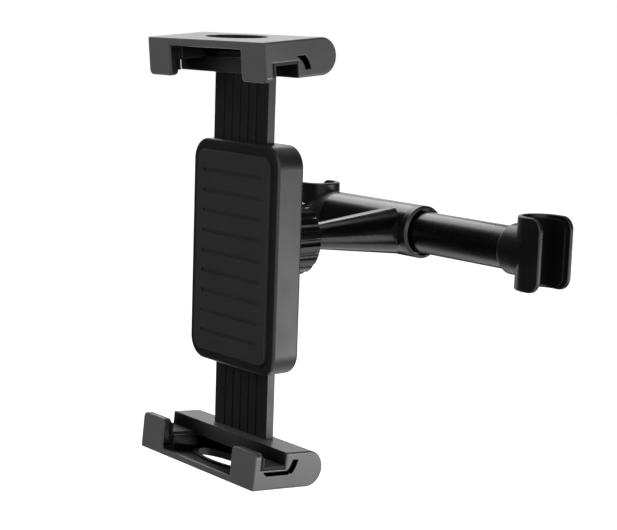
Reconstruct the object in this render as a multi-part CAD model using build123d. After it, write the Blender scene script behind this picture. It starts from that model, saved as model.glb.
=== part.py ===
from build123d import *
import os
from math import cos, pi, radians, sin, tan

# Headrest tablet mount, in millimetres.
# The origin is on the axis of the left headrest post, at the height of the bar.
# +X runs along the bar to the right post, -Y points to the viewer, +Z is up.

# Running and assembly clearances
SLIDE_GAP = 0.3
FIT_GAP = 0.05
TOOTH_GAP = 0.15

# How far a cut runs past the face it opens
PAST = 1.0

# Bar
POST_SPACING = 159.0
BAR_TRAVEL = 30.0
TEE_X = 66.0
OUTER_TUBE_OD = 26.0
OUTER_TUBE_WALL = 1.5
INNER_TUBE_OD = 20.5
INNER_TUBE_WALL = 2.0
MOUTH_REACH = 16.8
COLLAR_LENGTH = 5.0
COLLAR_RIM = 1.4
COLLAR_RECESS = 3.0
COLLAR_BEVEL = 1.2
BAR_SPRING_RADIUS = 6.4
BAR_SPRING_WIRE = 1.4
BAR_SPRING_TURNS = 9

# Post hooks
POST_DIAMETER = 14.0
LINER_THICKNESS = 2.2
HOOK_WALL = 2.3
HOOK_HEIGHT = 34.0
HOOK_ARM = 8.6
HOOK_TIP_ROUND = 6.0
HOOK_EDGE = 0.8
HOOK_INNER_EDGE = 0.5
LINER_INSET = 1.8
HOOK_NECK_RADIUS = 12.0
HOOK_NECK_ROUND = 1.6
HOOK_NECK_REACH = 17.4
HOOK_NECK_STRAIGHT = 8.0
PARTING_ROUND = 0.4
SPIGOT_LENGTH = 10.0
TUBE_SEAT = 4.0

# Neck and ball
NECK_DROP = 0.5
NECK_ROOT_RADIUS = 12.4
NECK_TIP_RADIUS = 5.9
BALL_Y = -72.0
BALL_RADIUS = 8.5
STEM_RADIUS = 3.8
STEM_LENGTH = 13.0
SHANK_RADIUS = 3.0
SHANK_LENGTH = 14.0

# Socket and lock nut
SEAT_THICKNESS = 1.5
SEAT_HALF_ANGLE = 40.0
SOCKET_WALL = 2.9
SOCKET_RISE = 2.0
NUT_WALL = 3.4
NUT_LIP = 3.7
NUT_MOUTH_RADIUS = 7.6
NUT_SCALLOPS = 16
NUT_SCALLOP_RADIUS = 2.6
NUT_SCALLOP_DEPTH = 1.0
NUT_FOOT_GAP = 0.5

# Clamp housing
CLAMP_Z = -6.3
HOUSING_WIDTH = 64.0
HOUSING_HEIGHT = 104.0
HOUSING_ROUND = 10.0
HOUSING_EDGE = 1.5
COVER_WALL = 2.4
REAR_WALL = 3.4
SIDE_WALL = 6.0
SPRING_LANE = 6.0
END_WALL = 2.0
PAD_THICKNESS = 1.5
PAD_MARGIN = 5.0
PAD_GROOVES = 9
PAD_GROOVE_WIDTH = 1.6
PAD_GROOVE_DEPTH = 0.6
PAD_EDGE = 0.5
SCREW_RADIUS = 1.4
SCREW_HEAD_RADIUS = 2.7
SCREW_HEAD = 1.8
SCREW_HEAD_CHAMFER = 0.6
HOUSING_SCREW_LENGTH = 10.0
HOUSING_SCREW_INSET = 3.2
HOUSING_SCREW_RISE = 40.0

# Slides, racks and pinion
SLIDER_THICKNESS = 4.0
SLIDER_ROUND = 3.0
SLIDER_GROOVES = 5
SLIDER_GROOVE_PITCH = 6.0
SLIDER_GROOVE_WIDTH = 1.6
SLIDER_GROOVE_DEPTH = 0.5
JAW_CLOSING = 24.0
JAW_OPENING = 13.0
GEAR_MODULE = 1.0
PINION_TEETH = 14
RACK_ADDENDUM = 0.75
PINION_ADDENDUM = 0.9
PRESSURE_ANGLE = 20.0
WINDOW_END = 3.0
TAB_HEIGHT = 2.5
PIN_RADIUS = 2.0
CLAMP_SPRING_RADIUS = 2.0
CLAMP_SPRING_WIRE = 0.7
CLAMP_SPRING_TURNS = 9

# Jaws: w runs back along the outer face, depths are measured in from that face
JAW_WIDTH = 88.0
JAW_FRONT_Y = -124.0
JAW_HALF_SPAN = 97.3
JAW_SLOPE = 5.3
JAW_FLAT = 31.0
JAW_BACK_RADIUS = 8.2
JAW_WALL = 2.2
JAW_EDGE = 0.8
LIP_THICKNESS = 5.0
LIP_WIDTH = 17.5
LIP_ROUND = 2.4
LIP_BACK_ROUND = 2.0
WINDOW_ROUND = 1.0
UPPER_LIP = 17.3
LOWER_LIP = 17.0
UPPER_STRIP = 3.6
LOWER_STRIP = 3.0
STRIP_THICKNESS = 2.8
CHANNEL = 12.5
SHELF_DEPTH = 9.4
SHELF_WALL = 1.2
WEB = 2.2
JAW_PAD_THICKNESS = 1.0
LIP_PAD_THICKNESS = 1.0
JAW_PAD_INSET = 0.6
OVAL_LENGTH = 42.0
OVAL_WIDTH = 16.0
OVAL_W = 18.0
OVAL_COLLAR = 3.4
OVAL_WALL = 1.6
SLIDER_TOP = 5.3
JAW_SCREW_SPREAD = 12.0
JAW_SCREW_DEPTH = 9.3
JAW_SCREW_SINK = 3.5
JAW_SCREW_BITE = 3.0
JAW_BOSS_RADIUS = 4.0
SLOT_HEIGHT = 1.8
SLOT_ARC_W = 12.8
SLOT_ARC_DEPTH = 15.0
SLOT_ARC_RADIUS = 10.5
SLOT_ARC_WIDTH = 3.0
SLOT_ARC_START = 6.9
SLOT_ARC_END = 13.0

# Values worked out from the sizes above
MOUTH_X = TEE_X + MOUTH_REACH
OUTER_RADIUS = OUTER_TUBE_OD / 2
OUTER_BORE = OUTER_RADIUS - OUTER_TUBE_WALL
INNER_RADIUS = INNER_TUBE_OD / 2
INNER_BORE = INNER_RADIUS - INNER_TUBE_WALL
LINER_RADIUS = POST_DIAMETER / 2
SHELL_RADIUS = LINER_RADIUS + LINER_THICKNESS
HOOK_RADIUS = SHELL_RADIUS + HOOK_WALL
NECK_FACE_X = POST_SPACING - HOOK_NECK_REACH
TUBE_INNER_END = HOOK_NECK_REACH + SPIGOT_LENGTH + SLIDE_GAP + BAR_TRAVEL
COLLAR_INNER_END = MOUTH_X - 2 * COLLAR_LENGTH
NECK_TIP_Y = BALL_Y + STEM_LENGTH
SOCKET_BORE = BALL_RADIUS + SLIDE_GAP + SEAT_THICKNESS + SLIDE_GAP
SOCKET_RADIUS = SOCKET_BORE + SOCKET_WALL
NUT_BORE = SOCKET_RADIUS + SLIDE_GAP
NUT_RADIUS = NUT_BORE + NUT_WALL
PAD_FACE_Y = JAW_FRONT_Y + LIP_THICKNESS + CHANNEL
COVER_FACE_Y = PAD_FACE_Y + PAD_THICKNESS
FRONT_LAYER_Y = COVER_FACE_Y + COVER_WALL + SLIDE_GAP
REAR_LAYER_Y = FRONT_LAYER_Y + SLIDER_THICKNESS + SLIDE_GAP
SPLIT_Y = REAR_LAYER_Y - SLIDE_GAP / 2
CAVITY_END_Y = REAR_LAYER_Y + SLIDER_THICKNESS + SLIDE_GAP
HOUSING_BACK_Y = CAVITY_END_Y + REAR_WALL
PINION_RADIUS = GEAR_MODULE * PINION_TEETH / 2
RACK_PITCH = pi * GEAR_MODULE
CHANNEL_END = LIP_THICKNESS + CHANNEL
BLOCK_DEPTH = 2 * JAW_BACK_RADIUS
WINDOW_HALF = JAW_WIDTH / 2 - LIP_WIDTH
SLIDER_WIDTH = HOUSING_WIDTH - 2 * SIDE_WALL - 2 * SPRING_LANE
TAB_REACH = SLIDER_WIDTH / 2 + SPRING_LANE - SLIDE_GAP
WINDOW_LOW = -JAW_OPENING - PINION_RADIUS - GEAR_MODULE - SLIDE_GAP
WINDOW_HIGH = JAW_CLOSING + PINION_RADIUS + GEAR_MODULE + SLIDE_GAP
SLIDER_INNER_END = WINDOW_LOW - WINDOW_END
JAW_SCREW_SEAT_Y = JAW_FRONT_Y + JAW_FLAT + JAW_BACK_RADIUS - JAW_SCREW_SINK


def rod_x(radius, start, end):
    """Round bar along X on the bar's axis."""
    return Pos((start + end) / 2, 0, 0) * Rot(0, 90, 0) * Cylinder(radius, end - start)


def rod_y(radius, start, end, x, z):
    """Round bar along Y."""
    return Pos(x, (start + end) / 2, z) * Rot(90, 0, 0) * Cylinder(radius, end - start)


def block(x0, x1, y0, y1, z0, z1):
    """Box between two corners."""
    middle = Pos((x0 + x1) / 2, (y0 + y1) / 2, (z0 + z1) / 2)
    return middle * Box(x1 - x0, y1 - y0, z1 - z0)


def turned_x(points):
    """Solid turned about the bar's axis from (x, radius) points."""
    return revolve(make_face(Polyline(*points, close=True)), Axis.X)


def turned_y(points, x, z):
    """Solid turned about a line along Y from (radius, y) points."""
    return Pos(x, 0, z) * revolve(make_face(Polyline(*points, close=True)), Axis.Y)


def plate_y(sketch, start, end):
    """Sketch in X and Z, with Z up, thickened from one Y to another."""
    plane = Plane((0, end, 0), x_dir=(1, 0, 0), z_dir=(0, -1, 0))
    return extrude(plane * sketch, end - start)


def spring(radius, wire, turns, length):
    """Open coil along +Z, its wire lying between 0 and length."""
    path = Helix((length - wire) / turns, length - wire, radius)
    section = Plane(path @ 0, z_dir=path % 0) * Circle(wire / 2)
    return Pos(0, 0, wire / 2) * sweep(section, path=path)


# Bar


def arm_tee():
    """Outer tube and forward neck, moulded in one."""
    end = MOUTH_X - COLLAR_LENGTH
    tube = rod_x(OUTER_RADIUS, HOOK_NECK_REACH, end)
    neck_points = [
        (0, 0),
        (NECK_ROOT_RADIUS, 0),
        (NECK_TIP_RADIUS, NECK_TIP_Y),
        (0, NECK_TIP_Y),
    ]
    body = tube + turned_y(neck_points, TEE_X, -NECK_DROP)
    body -= rod_x(OUTER_BORE, HOOK_NECK_REACH - PAST, end + PAST)
    shank_end = NECK_TIP_Y + SHANK_LENGTH + PAST
    return body - rod_y(SHANK_RADIUS + FIT_GAP, NECK_TIP_Y - PAST, shank_end, TEE_X, -NECK_DROP)


def tube_collar():
    """Bevelled ring at the tube's mouth, with a lip that the guide bush stops against."""
    start = MOUTH_X - COLLAR_LENGTH
    bore = INNER_RADIUS + SLIDE_GAP
    rim = OUTER_RADIUS - COLLAR_RIM
    spigot = OUTER_BORE - FIT_GAP
    return turned_x(
        [
            (COLLAR_INNER_END, bore),
            (COLLAR_INNER_END, spigot),
            (start, spigot),
            (start, OUTER_RADIUS),
            (MOUTH_X - COLLAR_BEVEL, OUTER_RADIUS),
            (MOUTH_X, OUTER_RADIUS - COLLAR_BEVEL),
            (MOUTH_X, rim),
            (MOUTH_X - COLLAR_RECESS, rim),
            (MOUTH_X - COLLAR_RECESS, bore),
        ]
    )


def inner_tube():
    """Sliding tube, seated in the right hook's neck."""
    end = NECK_FACE_X + TUBE_SEAT
    return rod_x(INNER_RADIUS, TUBE_INNER_END, end) - rod_x(INNER_BORE, TUBE_INNER_END - PAST, end + PAST)


def guide_bush():
    """Ring on the tube's inner end, running in the outer tube."""
    end = COLLAR_INNER_END - SLIDE_GAP
    outer = rod_x(OUTER_BORE - SLIDE_GAP, TUBE_INNER_END, end)
    return outer - rod_x(INNER_RADIUS, TUBE_INNER_END - PAST, end + PAST)


def bar_spring():
    """Compression spring between the two hooks' spigots."""
    start = HOOK_NECK_REACH + SPIGOT_LENGTH
    length = NECK_FACE_X - SPIGOT_LENGTH - start
    coil = spring(BAR_SPRING_RADIUS, BAR_SPRING_WIRE, BAR_SPRING_TURNS, length)
    return Pos(start, 0, 0) * Rot(0, 90, 0) * coil


def hook_plan(radius, tip):
    """Outline of the U in plan: half round behind the post, open along -X."""
    return Circle(radius) + Pos(-tip / 2, 0) * Rectangle(tip, 2 * radius)


def hook_side(inset):
    """Outline of the U seen from the front, with round corners."""
    left = -HOOK_ARM + inset
    right = HOOK_NECK_REACH
    height = HOOK_HEIGHT - 2 * inset
    outline = Pos((left + right) / 2, 0) * Rectangle(right - left, height)
    tips = outline.vertices().group_by(Axis.X)[0]
    return fillet(tips, HOOK_TIP_ROUND - inset)


def hook_rim(body, radius):
    """Edges round the U on one of its faces, outer or inner, without the seams beside the post."""
    flats = [f for f in body.faces().filter_by(Axis.Y) if abs(abs(f.center().Y) - radius) < FIT_GAP]
    rounds = [f for f in body.faces().filter_by(GeomType.CYLINDER) if abs(f.radius - radius) < FIT_GAP]
    edges = ShapeList(e for f in flats + rounds for e in f.edges())
    seams = edges.filter_by(Axis.Z).filter_by_position(Axis.X, -FIT_GAP, FIT_GAP)
    return [e for e in edges if e not in seams]


def post_hook(tube_bore, neck_radius, rim_round):
    """U hook on the left post, its neck and spigot pointing to +X."""
    shell = extrude(hook_plan(HOOK_RADIUS, HOOK_ARM), HOOK_HEIGHT / 2, both=True)
    shell &= plate_y(hook_side(0), -HOOK_RADIUS - PAST, HOOK_RADIUS + PAST)
    shell = fillet(hook_rim(shell, HOOK_RADIUS), HOOK_EDGE)
    straight = HOOK_NECK_REACH - HOOK_NECK_STRAIGHT
    neck = turned_x(
        [
            (0, 0),
            (0, HOOK_RADIUS),
            (straight, neck_radius),
            (HOOK_NECK_REACH, neck_radius),
            (HOOK_NECK_REACH, 0),
        ]
    )
    neck = fillet(neck.edges().filter_by(GeomType.CIRCLE).sort_by(Axis.X)[-1], rim_round)
    spigot = rod_x(tube_bore - FIT_GAP, straight, HOOK_NECK_REACH + SPIGOT_LENGTH)
    body = shell + neck + spigot
    body -= extrude(hook_plan(SHELL_RADIUS, HOOK_ARM + PAST), HOOK_HEIGHT, both=True)
    return fillet(hook_rim(body, SHELL_RADIUS), HOOK_INNER_EDGE)


def hook_liner():
    """Soft lining of the left hook's U."""
    lining = extrude(hook_plan(SHELL_RADIUS, HOOK_ARM), HOOK_HEIGHT / 2, both=True)
    lining &= plate_y(hook_side(LINER_INSET), -HOOK_RADIUS, HOOK_RADIUS)
    return lining - extrude(hook_plan(LINER_RADIUS, HOOK_ARM + PAST), HOOK_HEIGHT, both=True)


def on_right_post(shape):
    """The left hook's piece, turned round to the right post."""
    return Pos(POST_SPACING, 0, 0) * mirror(shape, about=Plane.YZ)


def right_post_hook():
    """Right hook, with a ring groove that takes the inner tube's end."""
    hook = post_hook(INNER_BORE, HOOK_NECK_RADIUS, HOOK_NECK_ROUND)
    seat = rod_x(INNER_RADIUS, HOOK_NECK_REACH - TUBE_SEAT, HOOK_NECK_REACH + PAST)
    seat -= rod_x(INNER_BORE - FIT_GAP, 0, HOOK_NECK_REACH + 2 * PAST)
    return on_right_post(hook - seat)


# Ball, seat and lock nut


def ball():
    """Ball with its stem and the shank in the neck."""
    tip = NECK_TIP_Y
    shape = Pos(TEE_X, BALL_Y, -NECK_DROP) * Sphere(BALL_RADIUS)
    shape += rod_y(STEM_RADIUS, BALL_Y, tip, TEE_X, -NECK_DROP)
    return shape + rod_y(SHANK_RADIUS, BALL_Y, tip + SHANK_LENGTH, TEE_X, -NECK_DROP)


def ball_seat():
    """Soft cup between the ball and the bottom of the socket."""
    inner = BALL_RADIUS + SLIDE_GAP
    outer = inner + SEAT_THICKNESS
    middle = (inner + outer) / 2
    shell = Sphere(outer) - Sphere(inner)
    reach = middle * cos(radians(SEAT_HALF_ANGLE))
    cap = block(-outer, outer, -outer - PAST, -reach, -outer, outer)
    return Pos(TEE_X, BALL_Y, -NECK_DROP) * (shell & cap)


def lock_nut():
    """Ring nut with finger scallops, whose lip holds the ball in the socket."""
    foot = HOUSING_BACK_Y + NUT_FOOT_GAP
    shoulder = BALL_Y + SOCKET_RISE + SLIDE_GAP
    face = shoulder + NUT_LIP
    reach = BALL_RADIUS + SLIDE_GAP
    ring = rod_y(NUT_RADIUS, foot, face, TEE_X, -NECK_DROP)
    ring = chamfer(ring.edges().filter_by(GeomType.CIRCLE), NUT_SCALLOP_DEPTH)
    ring -= rod_y(NUT_BORE, foot - PAST, shoulder, TEE_X, -NECK_DROP)
    ring -= Pos(TEE_X, BALL_Y, -NECK_DROP) * Sphere(reach)
    mouth = [
        (0, shoulder),
        (NUT_MOUTH_RADIUS, shoulder),
        (NUT_MOUTH_RADIUS, BALL_Y + (reach**2 - NUT_MOUTH_RADIUS**2) ** 0.5),
        (NUT_MOUTH_RADIUS + NUT_LIP / 2, face + PAST),
        (0, face + PAST),
    ]
    ring -= turned_y(mouth, TEE_X, -NECK_DROP)
    centre = NUT_RADIUS + NUT_SCALLOP_RADIUS - NUT_SCALLOP_DEPTH
    for i in range(NUT_SCALLOPS):
        angle = 2 * pi * i / NUT_SCALLOPS
        x = TEE_X + centre * cos(angle)
        z = -NECK_DROP + centre * sin(angle)
        ring -= rod_y(NUT_SCALLOP_RADIUS, foot - PAST, face + PAST, x, z)
    return ring


# Clamp housing


def housing_outline(margin):
    """Rounded outline of the clamp housing, drawn in from its edge by a margin."""
    outline = RectangleRounded(
        HOUSING_WIDTH - 2 * margin, HOUSING_HEIGHT - 2 * margin, HOUSING_ROUND - margin
    )
    return Pos(TEE_X, CLAMP_Z) * outline


def housing_screw_places():
    """Places of the four housing screws in X and Z."""
    reach = HOUSING_WIDTH / 2 - HOUSING_SCREW_INSET
    return [
        (TEE_X + i * reach, CLAMP_Z + j * HOUSING_SCREW_RISE) for i in (-1, 1) for j in (-1, 1)
    ]


def housing_cavity(start, end):
    """Space between the shells for the slides and springs."""
    half = HOUSING_WIDTH / 2 - SIDE_WALL
    rise = HOUSING_HEIGHT / 2 - END_WALL
    return block(TEE_X - half, TEE_X + half, start, end, CLAMP_Z - rise, CLAMP_Z + rise)


def slider_way(layer, end):
    """Way out of the housing for one slide, up or down."""
    half = SLIDER_WIDTH / 2 + SLIDE_GAP
    far = CLAMP_Z + end * HOUSING_HEIGHT
    low, high = min(CLAMP_Z, far), max(CLAMP_Z, far)
    start = layer - SLIDE_GAP
    return block(TEE_X - half, TEE_X + half, start, layer + SLIDER_THICKNESS + SLIDE_GAP, low, high)


def front_cover():
    """Front shell of the clamp."""
    shell = plate_y(housing_outline(0), COVER_FACE_Y, SPLIT_Y)
    shell = fillet(shell.faces().sort_by(Axis.Y)[0].edges(), HOUSING_EDGE)
    shell -= housing_cavity(COVER_FACE_Y + COVER_WALL, SPLIT_Y + PAST)
    shell -= slider_way(FRONT_LAYER_Y, 1)
    pin_seat = COVER_FACE_Y + COVER_WALL / 2
    shell -= rod_y(PIN_RADIUS + FIT_GAP, pin_seat, SPLIT_Y, TEE_X, CLAMP_Z)
    screw_end = HOUSING_BACK_Y - SCREW_HEAD - HOUSING_SCREW_LENGTH
    for x, z in housing_screw_places():
        shell -= rod_y(SCREW_RADIUS + FIT_GAP, screw_end - SLIDE_GAP, SPLIT_Y + PAST, x, z)
    return shell


def rear_housing():
    """Rear shell of the clamp, with the ball's socket."""
    shell = plate_y(housing_outline(0), SPLIT_Y, HOUSING_BACK_Y)
    shell = fillet(shell.faces().sort_by(Axis.Y)[-1].edges(), HOUSING_EDGE)
    shell -= housing_cavity(SPLIT_Y - PAST, CAVITY_END_Y)
    shell -= slider_way(REAR_LAYER_Y, -1)
    pin_seat = CAVITY_END_Y + REAR_WALL / 2
    shell -= rod_y(PIN_RADIUS + FIT_GAP, SPLIT_Y, pin_seat, TEE_X, CLAMP_Z)
    head_seat = HOUSING_BACK_Y - SCREW_HEAD
    for x, z in housing_screw_places():
        shell -= rod_y(SCREW_RADIUS + FIT_GAP, SPLIT_Y - PAST, head_seat, x, z)
        shell -= rod_y(SCREW_HEAD_RADIUS + FIT_GAP, head_seat, HOUSING_BACK_Y + PAST, x, z)
    shell += rod_y(SOCKET_RADIUS, HOUSING_BACK_Y - PAST, BALL_Y + SOCKET_RISE, TEE_X, -NECK_DROP)
    shell -= Pos(TEE_X, BALL_Y, -NECK_DROP) * Sphere(SOCKET_BORE)
    return shell - rod_y(SOCKET_BORE, BALL_Y, BALL_Y + SOCKET_RISE + PAST, TEE_X, -NECK_DROP)


def front_pad():
    """Soft pad on the front cover, with cross grooves."""
    pad = plate_y(housing_outline(PAD_MARGIN), PAD_FACE_Y, COVER_FACE_Y)
    pad = fillet(pad.faces().sort_by(Axis.Y)[0].edges(), PAD_EDGE)
    height = HOUSING_HEIGHT - 2 * PAD_MARGIN
    groove = SlotOverall(HOUSING_WIDTH - 4 * PAD_MARGIN, PAD_GROOVE_WIDTH)
    for i in range(PAD_GROOVES):
        z = CLAMP_Z + height * ((i + 1) / (PAD_GROOVES + 1) - 0.5)
        pad -= plate_y(Pos(TEE_X, z) * groove, PAD_FACE_Y - PAST, PAD_FACE_Y + PAD_GROOVE_DEPTH)
    return pad


def screw(length):
    """Pan head screw along +Y, the underside of its head at 0."""
    shank = Pos(0, -length / 2, 0) * Rot(90, 0, 0) * Cylinder(SCREW_RADIUS, length)
    head = Pos(0, SCREW_HEAD / 2, 0) * Rot(90, 0, 0) * Cylinder(SCREW_HEAD_RADIUS, SCREW_HEAD)
    head = chamfer(head.edges().sort_by(Axis.Y)[-1:], SCREW_HEAD_CHAMFER)
    return shank + head


def housing_screws():
    """The four screws that hold the shells together."""
    seat = HOUSING_BACK_Y - SCREW_HEAD
    screws = [Pos(x, seat, z) * screw(HOUSING_SCREW_LENGTH) for x, z in housing_screw_places()]
    return Compound(children=screws)


# Slides and gear


def rack_gap(depth):
    """One space between two rack teeth, opening towards -X, centred on Z = 0."""
    lean = tan(radians(PRESSURE_ANGLE))
    pitch_half = RACK_PITCH / 4 + TOOTH_GAP / 2
    tip = pitch_half + RACK_ADDENDUM * lean
    root = pitch_half - depth * lean
    corners = [(-RACK_ADDENDUM, -tip), (-RACK_ADDENDUM, tip), (depth, root), (depth, -root)]
    return make_face(Polyline(*corners, close=True))


def slider(side, layer):
    """Upper slide with its rack on one side of the pinion, tabs for the springs at its foot."""
    half = SLIDER_WIDTH / 2
    top = JAW_HALF_SPAN - SLIDER_TOP
    height = top - SLIDER_INNER_END
    outline = Pos(0, (top + SLIDER_INNER_END) / 2) * Rectangle(SLIDER_WIDTH, height)
    outline = fillet(outline.vertices().group_by(Axis.Y)[-1], SLIDER_ROUND)
    clear = PINION_RADIUS + GEAR_MODULE + SLIDE_GAP
    tip = PINION_RADIUS - RACK_ADDENDUM
    window = Pos((tip - clear) / 2, (WINDOW_LOW + WINDOW_HIGH) / 2) * Rectangle(
        tip + clear, WINDOW_HIGH - WINDOW_LOW
    )
    outline -= window
    first = int(WINDOW_LOW / RACK_PITCH) + 1
    last = int(WINDOW_HIGH / RACK_PITCH) - 1
    for i in range(first, last + 1):
        outline -= Pos(PINION_RADIUS, i * RACK_PITCH) * rack_gap(GEAR_MODULE + SLIDE_GAP)
    if side < 0:
        outline = mirror(outline, about=Plane.YZ)
    plate = plate_y(outline, layer, layer + SLIDER_THICKNESS)
    for i in range(SLIDER_GROOVES):
        middle = (i - (SLIDER_GROOVES - 1) / 2) * SLIDER_GROOVE_PITCH
        left = middle - SLIDER_GROOVE_WIDTH / 2
        right = middle + SLIDER_GROOVE_WIDTH / 2
        bottom = layer + SLIDER_GROOVE_DEPTH
        plate -= block(left, right, layer - PAST, bottom, WINDOW_HIGH + WINDOW_END, top - BLOCK_DEPTH / 2)
    tab_end = REAR_LAYER_Y + SLIDER_THICKNESS
    for i in (-1, 1):
        near, far = sorted((i * (half + SLIDE_GAP), i * TAB_REACH))
        low = SLIDER_INNER_END
        tab = block(near, far, FRONT_LAYER_Y, tab_end, low, low + TAB_HEIGHT)
        root_near, root_far = sorted((i * (half - TAB_HEIGHT), i * TAB_REACH))
        root = block(root_near, root_far, layer, layer + SLIDER_THICKNESS, low, low + TAB_HEIGHT)
        plate = plate + tab + root
    return plate


def upper_slider():
    """Slide of the upper jaw, in the front layer."""
    plate = Pos(TEE_X, 0, CLAMP_Z) * slider(1, FRONT_LAYER_Y)
    return plate - jaw_screw_holes(FRONT_LAYER_Y, 1)


def lower_slider():
    """Slide of the lower jaw, in the rear layer, mirrored top to bottom."""
    plate = slider(-1, REAR_LAYER_Y)
    plate = Pos(TEE_X, 0, CLAMP_Z) * mirror(plate, about=Plane.XY)
    return plate - jaw_screw_holes(REAR_LAYER_Y, -1)


def pinion():
    """Spur gear between the two racks."""
    base = PINION_RADIUS * cos(radians(PRESSURE_ANGLE))
    tip = PINION_RADIUS + PINION_ADDENDUM
    root = PINION_RADIUS - RACK_ADDENDUM - SLIDE_GAP
    half_tooth = pi / 2 / PINION_TEETH - TOOTH_GAP / 2 / PINION_RADIUS
    roll = tan(radians(PRESSURE_ANGLE)) - radians(PRESSURE_ANGLE)

    def flank(radius):
        """Half angle of a tooth at a radius, by the involute of the base circle."""
        if radius <= base:
            return half_tooth + roll
        tangent = (radius**2 / base**2 - 1) ** 0.5
        angle = tangent - Vector(1, tangent).get_angle(Vector(1, 0)) * pi / 180
        return half_tooth + roll - angle

    radii = [root - GEAR_MODULE / 2, base, (base + PINION_RADIUS) / 2]
    radii += [PINION_RADIUS, (PINION_RADIUS + tip) / 2, tip]
    right = [(r * cos(flank(r)), -r * sin(flank(r))) for r in radii]
    left = [(x, -y) for x, y in reversed(right)]
    tooth = make_face(Polyline(*right, *left, close=True))
    outline = Circle(root)
    for i in range(PINION_TEETH):
        outline += Rot(0, 0, 360 * i / PINION_TEETH) * tooth
    outline -= Circle(PIN_RADIUS + FIT_GAP)
    gear = plate_y(outline, FRONT_LAYER_Y, REAR_LAYER_Y + SLIDER_THICKNESS)
    return Pos(TEE_X, 0, CLAMP_Z) * gear


def pinion_pin():
    """Axle of the gear, held in both shells."""
    front = COVER_FACE_Y + COVER_WALL / 2
    return rod_y(PIN_RADIUS, front, CAVITY_END_Y + REAR_WALL / 2, TEE_X, CLAMP_Z)


def clamp_springs():
    """Two springs pressing the slides' inner ends apart, so that the jaws close."""
    seat = -SLIDER_INNER_END - TAB_HEIGHT
    coil = spring(CLAMP_SPRING_RADIUS, CLAMP_SPRING_WIRE, CLAMP_SPRING_TURNS, 2 * seat)
    y = (FRONT_LAYER_Y + REAR_LAYER_Y + SLIDER_THICKNESS) / 2
    x = (SLIDER_WIDTH / 2 + SLIDE_GAP + TAB_REACH) / 2
    coils = [Pos(TEE_X + i * x, y, CLAMP_Z - seat) * coil for i in (-1, 1)]
    return Compound(children=coils)


# Jaws


def in_upper_jaw(shape):
    """Places a jaw's piece, drawn with its outer face level, in the upper jaw."""
    return Pos(TEE_X, JAW_FRONT_Y, CLAMP_Z + JAW_HALF_SPAN) * Rot(JAW_SLOPE, 0, 0) * shape


def in_lower_jaw(shape):
    """The same piece, mirrored into the lower jaw."""
    return mirror(in_upper_jaw(shape), about=Plane.XY.offset(CLAMP_Z))


def jaw_section(lip):
    """Side outline of a jaw in w and height: lip, shelf and round back."""
    line = Polyline(
        (JAW_FLAT, -BLOCK_DEPTH),
        (CHANNEL_END, -BLOCK_DEPTH),
        (CHANNEL_END, -SHELF_DEPTH),
        (LIP_THICKNESS, -SHELF_DEPTH),
        (LIP_THICKNESS, -lip),
        (0, -lip),
        (0, 0),
        (JAW_FLAT, 0),
    )
    back = ThreePointArc(
        (JAW_FLAT, 0), (JAW_FLAT + JAW_BACK_RADIUS, -JAW_BACK_RADIUS), (JAW_FLAT, -BLOCK_DEPTH)
    )
    return make_face(line + back)


def back_hollow(half):
    """Hollow of the round back, a wall's thickness inside the outline."""
    radius = JAW_BACK_RADIUS - JAW_WALL
    bar = Pos(JAW_FLAT, -JAW_BACK_RADIUS) * Circle(radius)
    start = CHANNEL_END + JAW_WALL
    width = JAW_FLAT - start
    bar += Pos(start + width / 2, -JAW_BACK_RADIUS) * Rectangle(width, 2 * radius)
    return extrude(Plane.YZ * bar, half, both=True)


def side_slot(start, depth):
    """Slot in a jaw's side walls: straight under the shelf, then an arc behind the channel."""
    level = SHELF_DEPTH - SHELF_WALL
    ring = Circle(SLOT_ARC_RADIUS + SLOT_ARC_WIDTH / 2) - Circle(SLOT_ARC_RADIUS - SLOT_ARC_WIDTH / 2)
    reach = SLOT_ARC_RADIUS + SLOT_ARC_WIDTH
    middle = (SLOT_ARC_START + SLOT_ARC_END) / 2
    band = Rectangle(reach, SLOT_ARC_END - SLOT_ARC_START)
    face = (Pos(SLOT_ARC_W, -SLOT_ARC_DEPTH) * ring) & (Pos(SLOT_ARC_W + reach / 2, -middle) * band)
    if start < CHANNEL_END:
        end = CHANNEL_END + JAW_WALL
        far = -level + SLOT_HEIGHT
        face += make_face(
            Polyline((start, -level), (end, -level), (end, far), (start + SLOT_HEIGHT, far), close=True)
        )
    cut = extrude(Plane.YZ * face, JAW_WIDTH, both=True)
    half = JAW_WIDTH / 2 - depth
    return cut - block(-half, half, -PAST, JAW_WIDTH, -JAW_WIDTH, PAST)


def jaw_blank(lip, strip):
    """Solid outer form of a jaw: front wall with two lips, shelf and round back."""
    half = JAW_WIDTH / 2
    body = extrude(Plane.YZ * jaw_section(lip), half, both=True)
    opening = Pos(0, -strip - lip) * Rectangle(2 * WINDOW_HALF, 2 * lip)
    opening = fillet(opening.vertices().group_by(Axis.Y)[-1], WINDOW_ROUND)
    body -= plate_y(opening, -PAST, LIP_THICKNESS + FIT_GAP)
    tips = body.edges().filter_by(Axis.Y).group_by(Axis.Z)[0]
    body = fillet(tips, LIP_ROUND)
    lip_backs = body.faces().filter_by(Axis.Z).group_by(Axis.Z)[0].edges().group_by(Axis.Y)[-1]
    body = fillet(lip_backs, LIP_BACK_ROUND)
    outer = body.faces().filter_by(Axis.X).group_by(Axis.X)
    front = body.faces().filter_by(Axis.Y).group_by(Axis.Y)[0]
    rims = outer[0].edges() + outer[-1].edges() + front.edges()
    return fillet(rims, JAW_EDGE)


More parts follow.
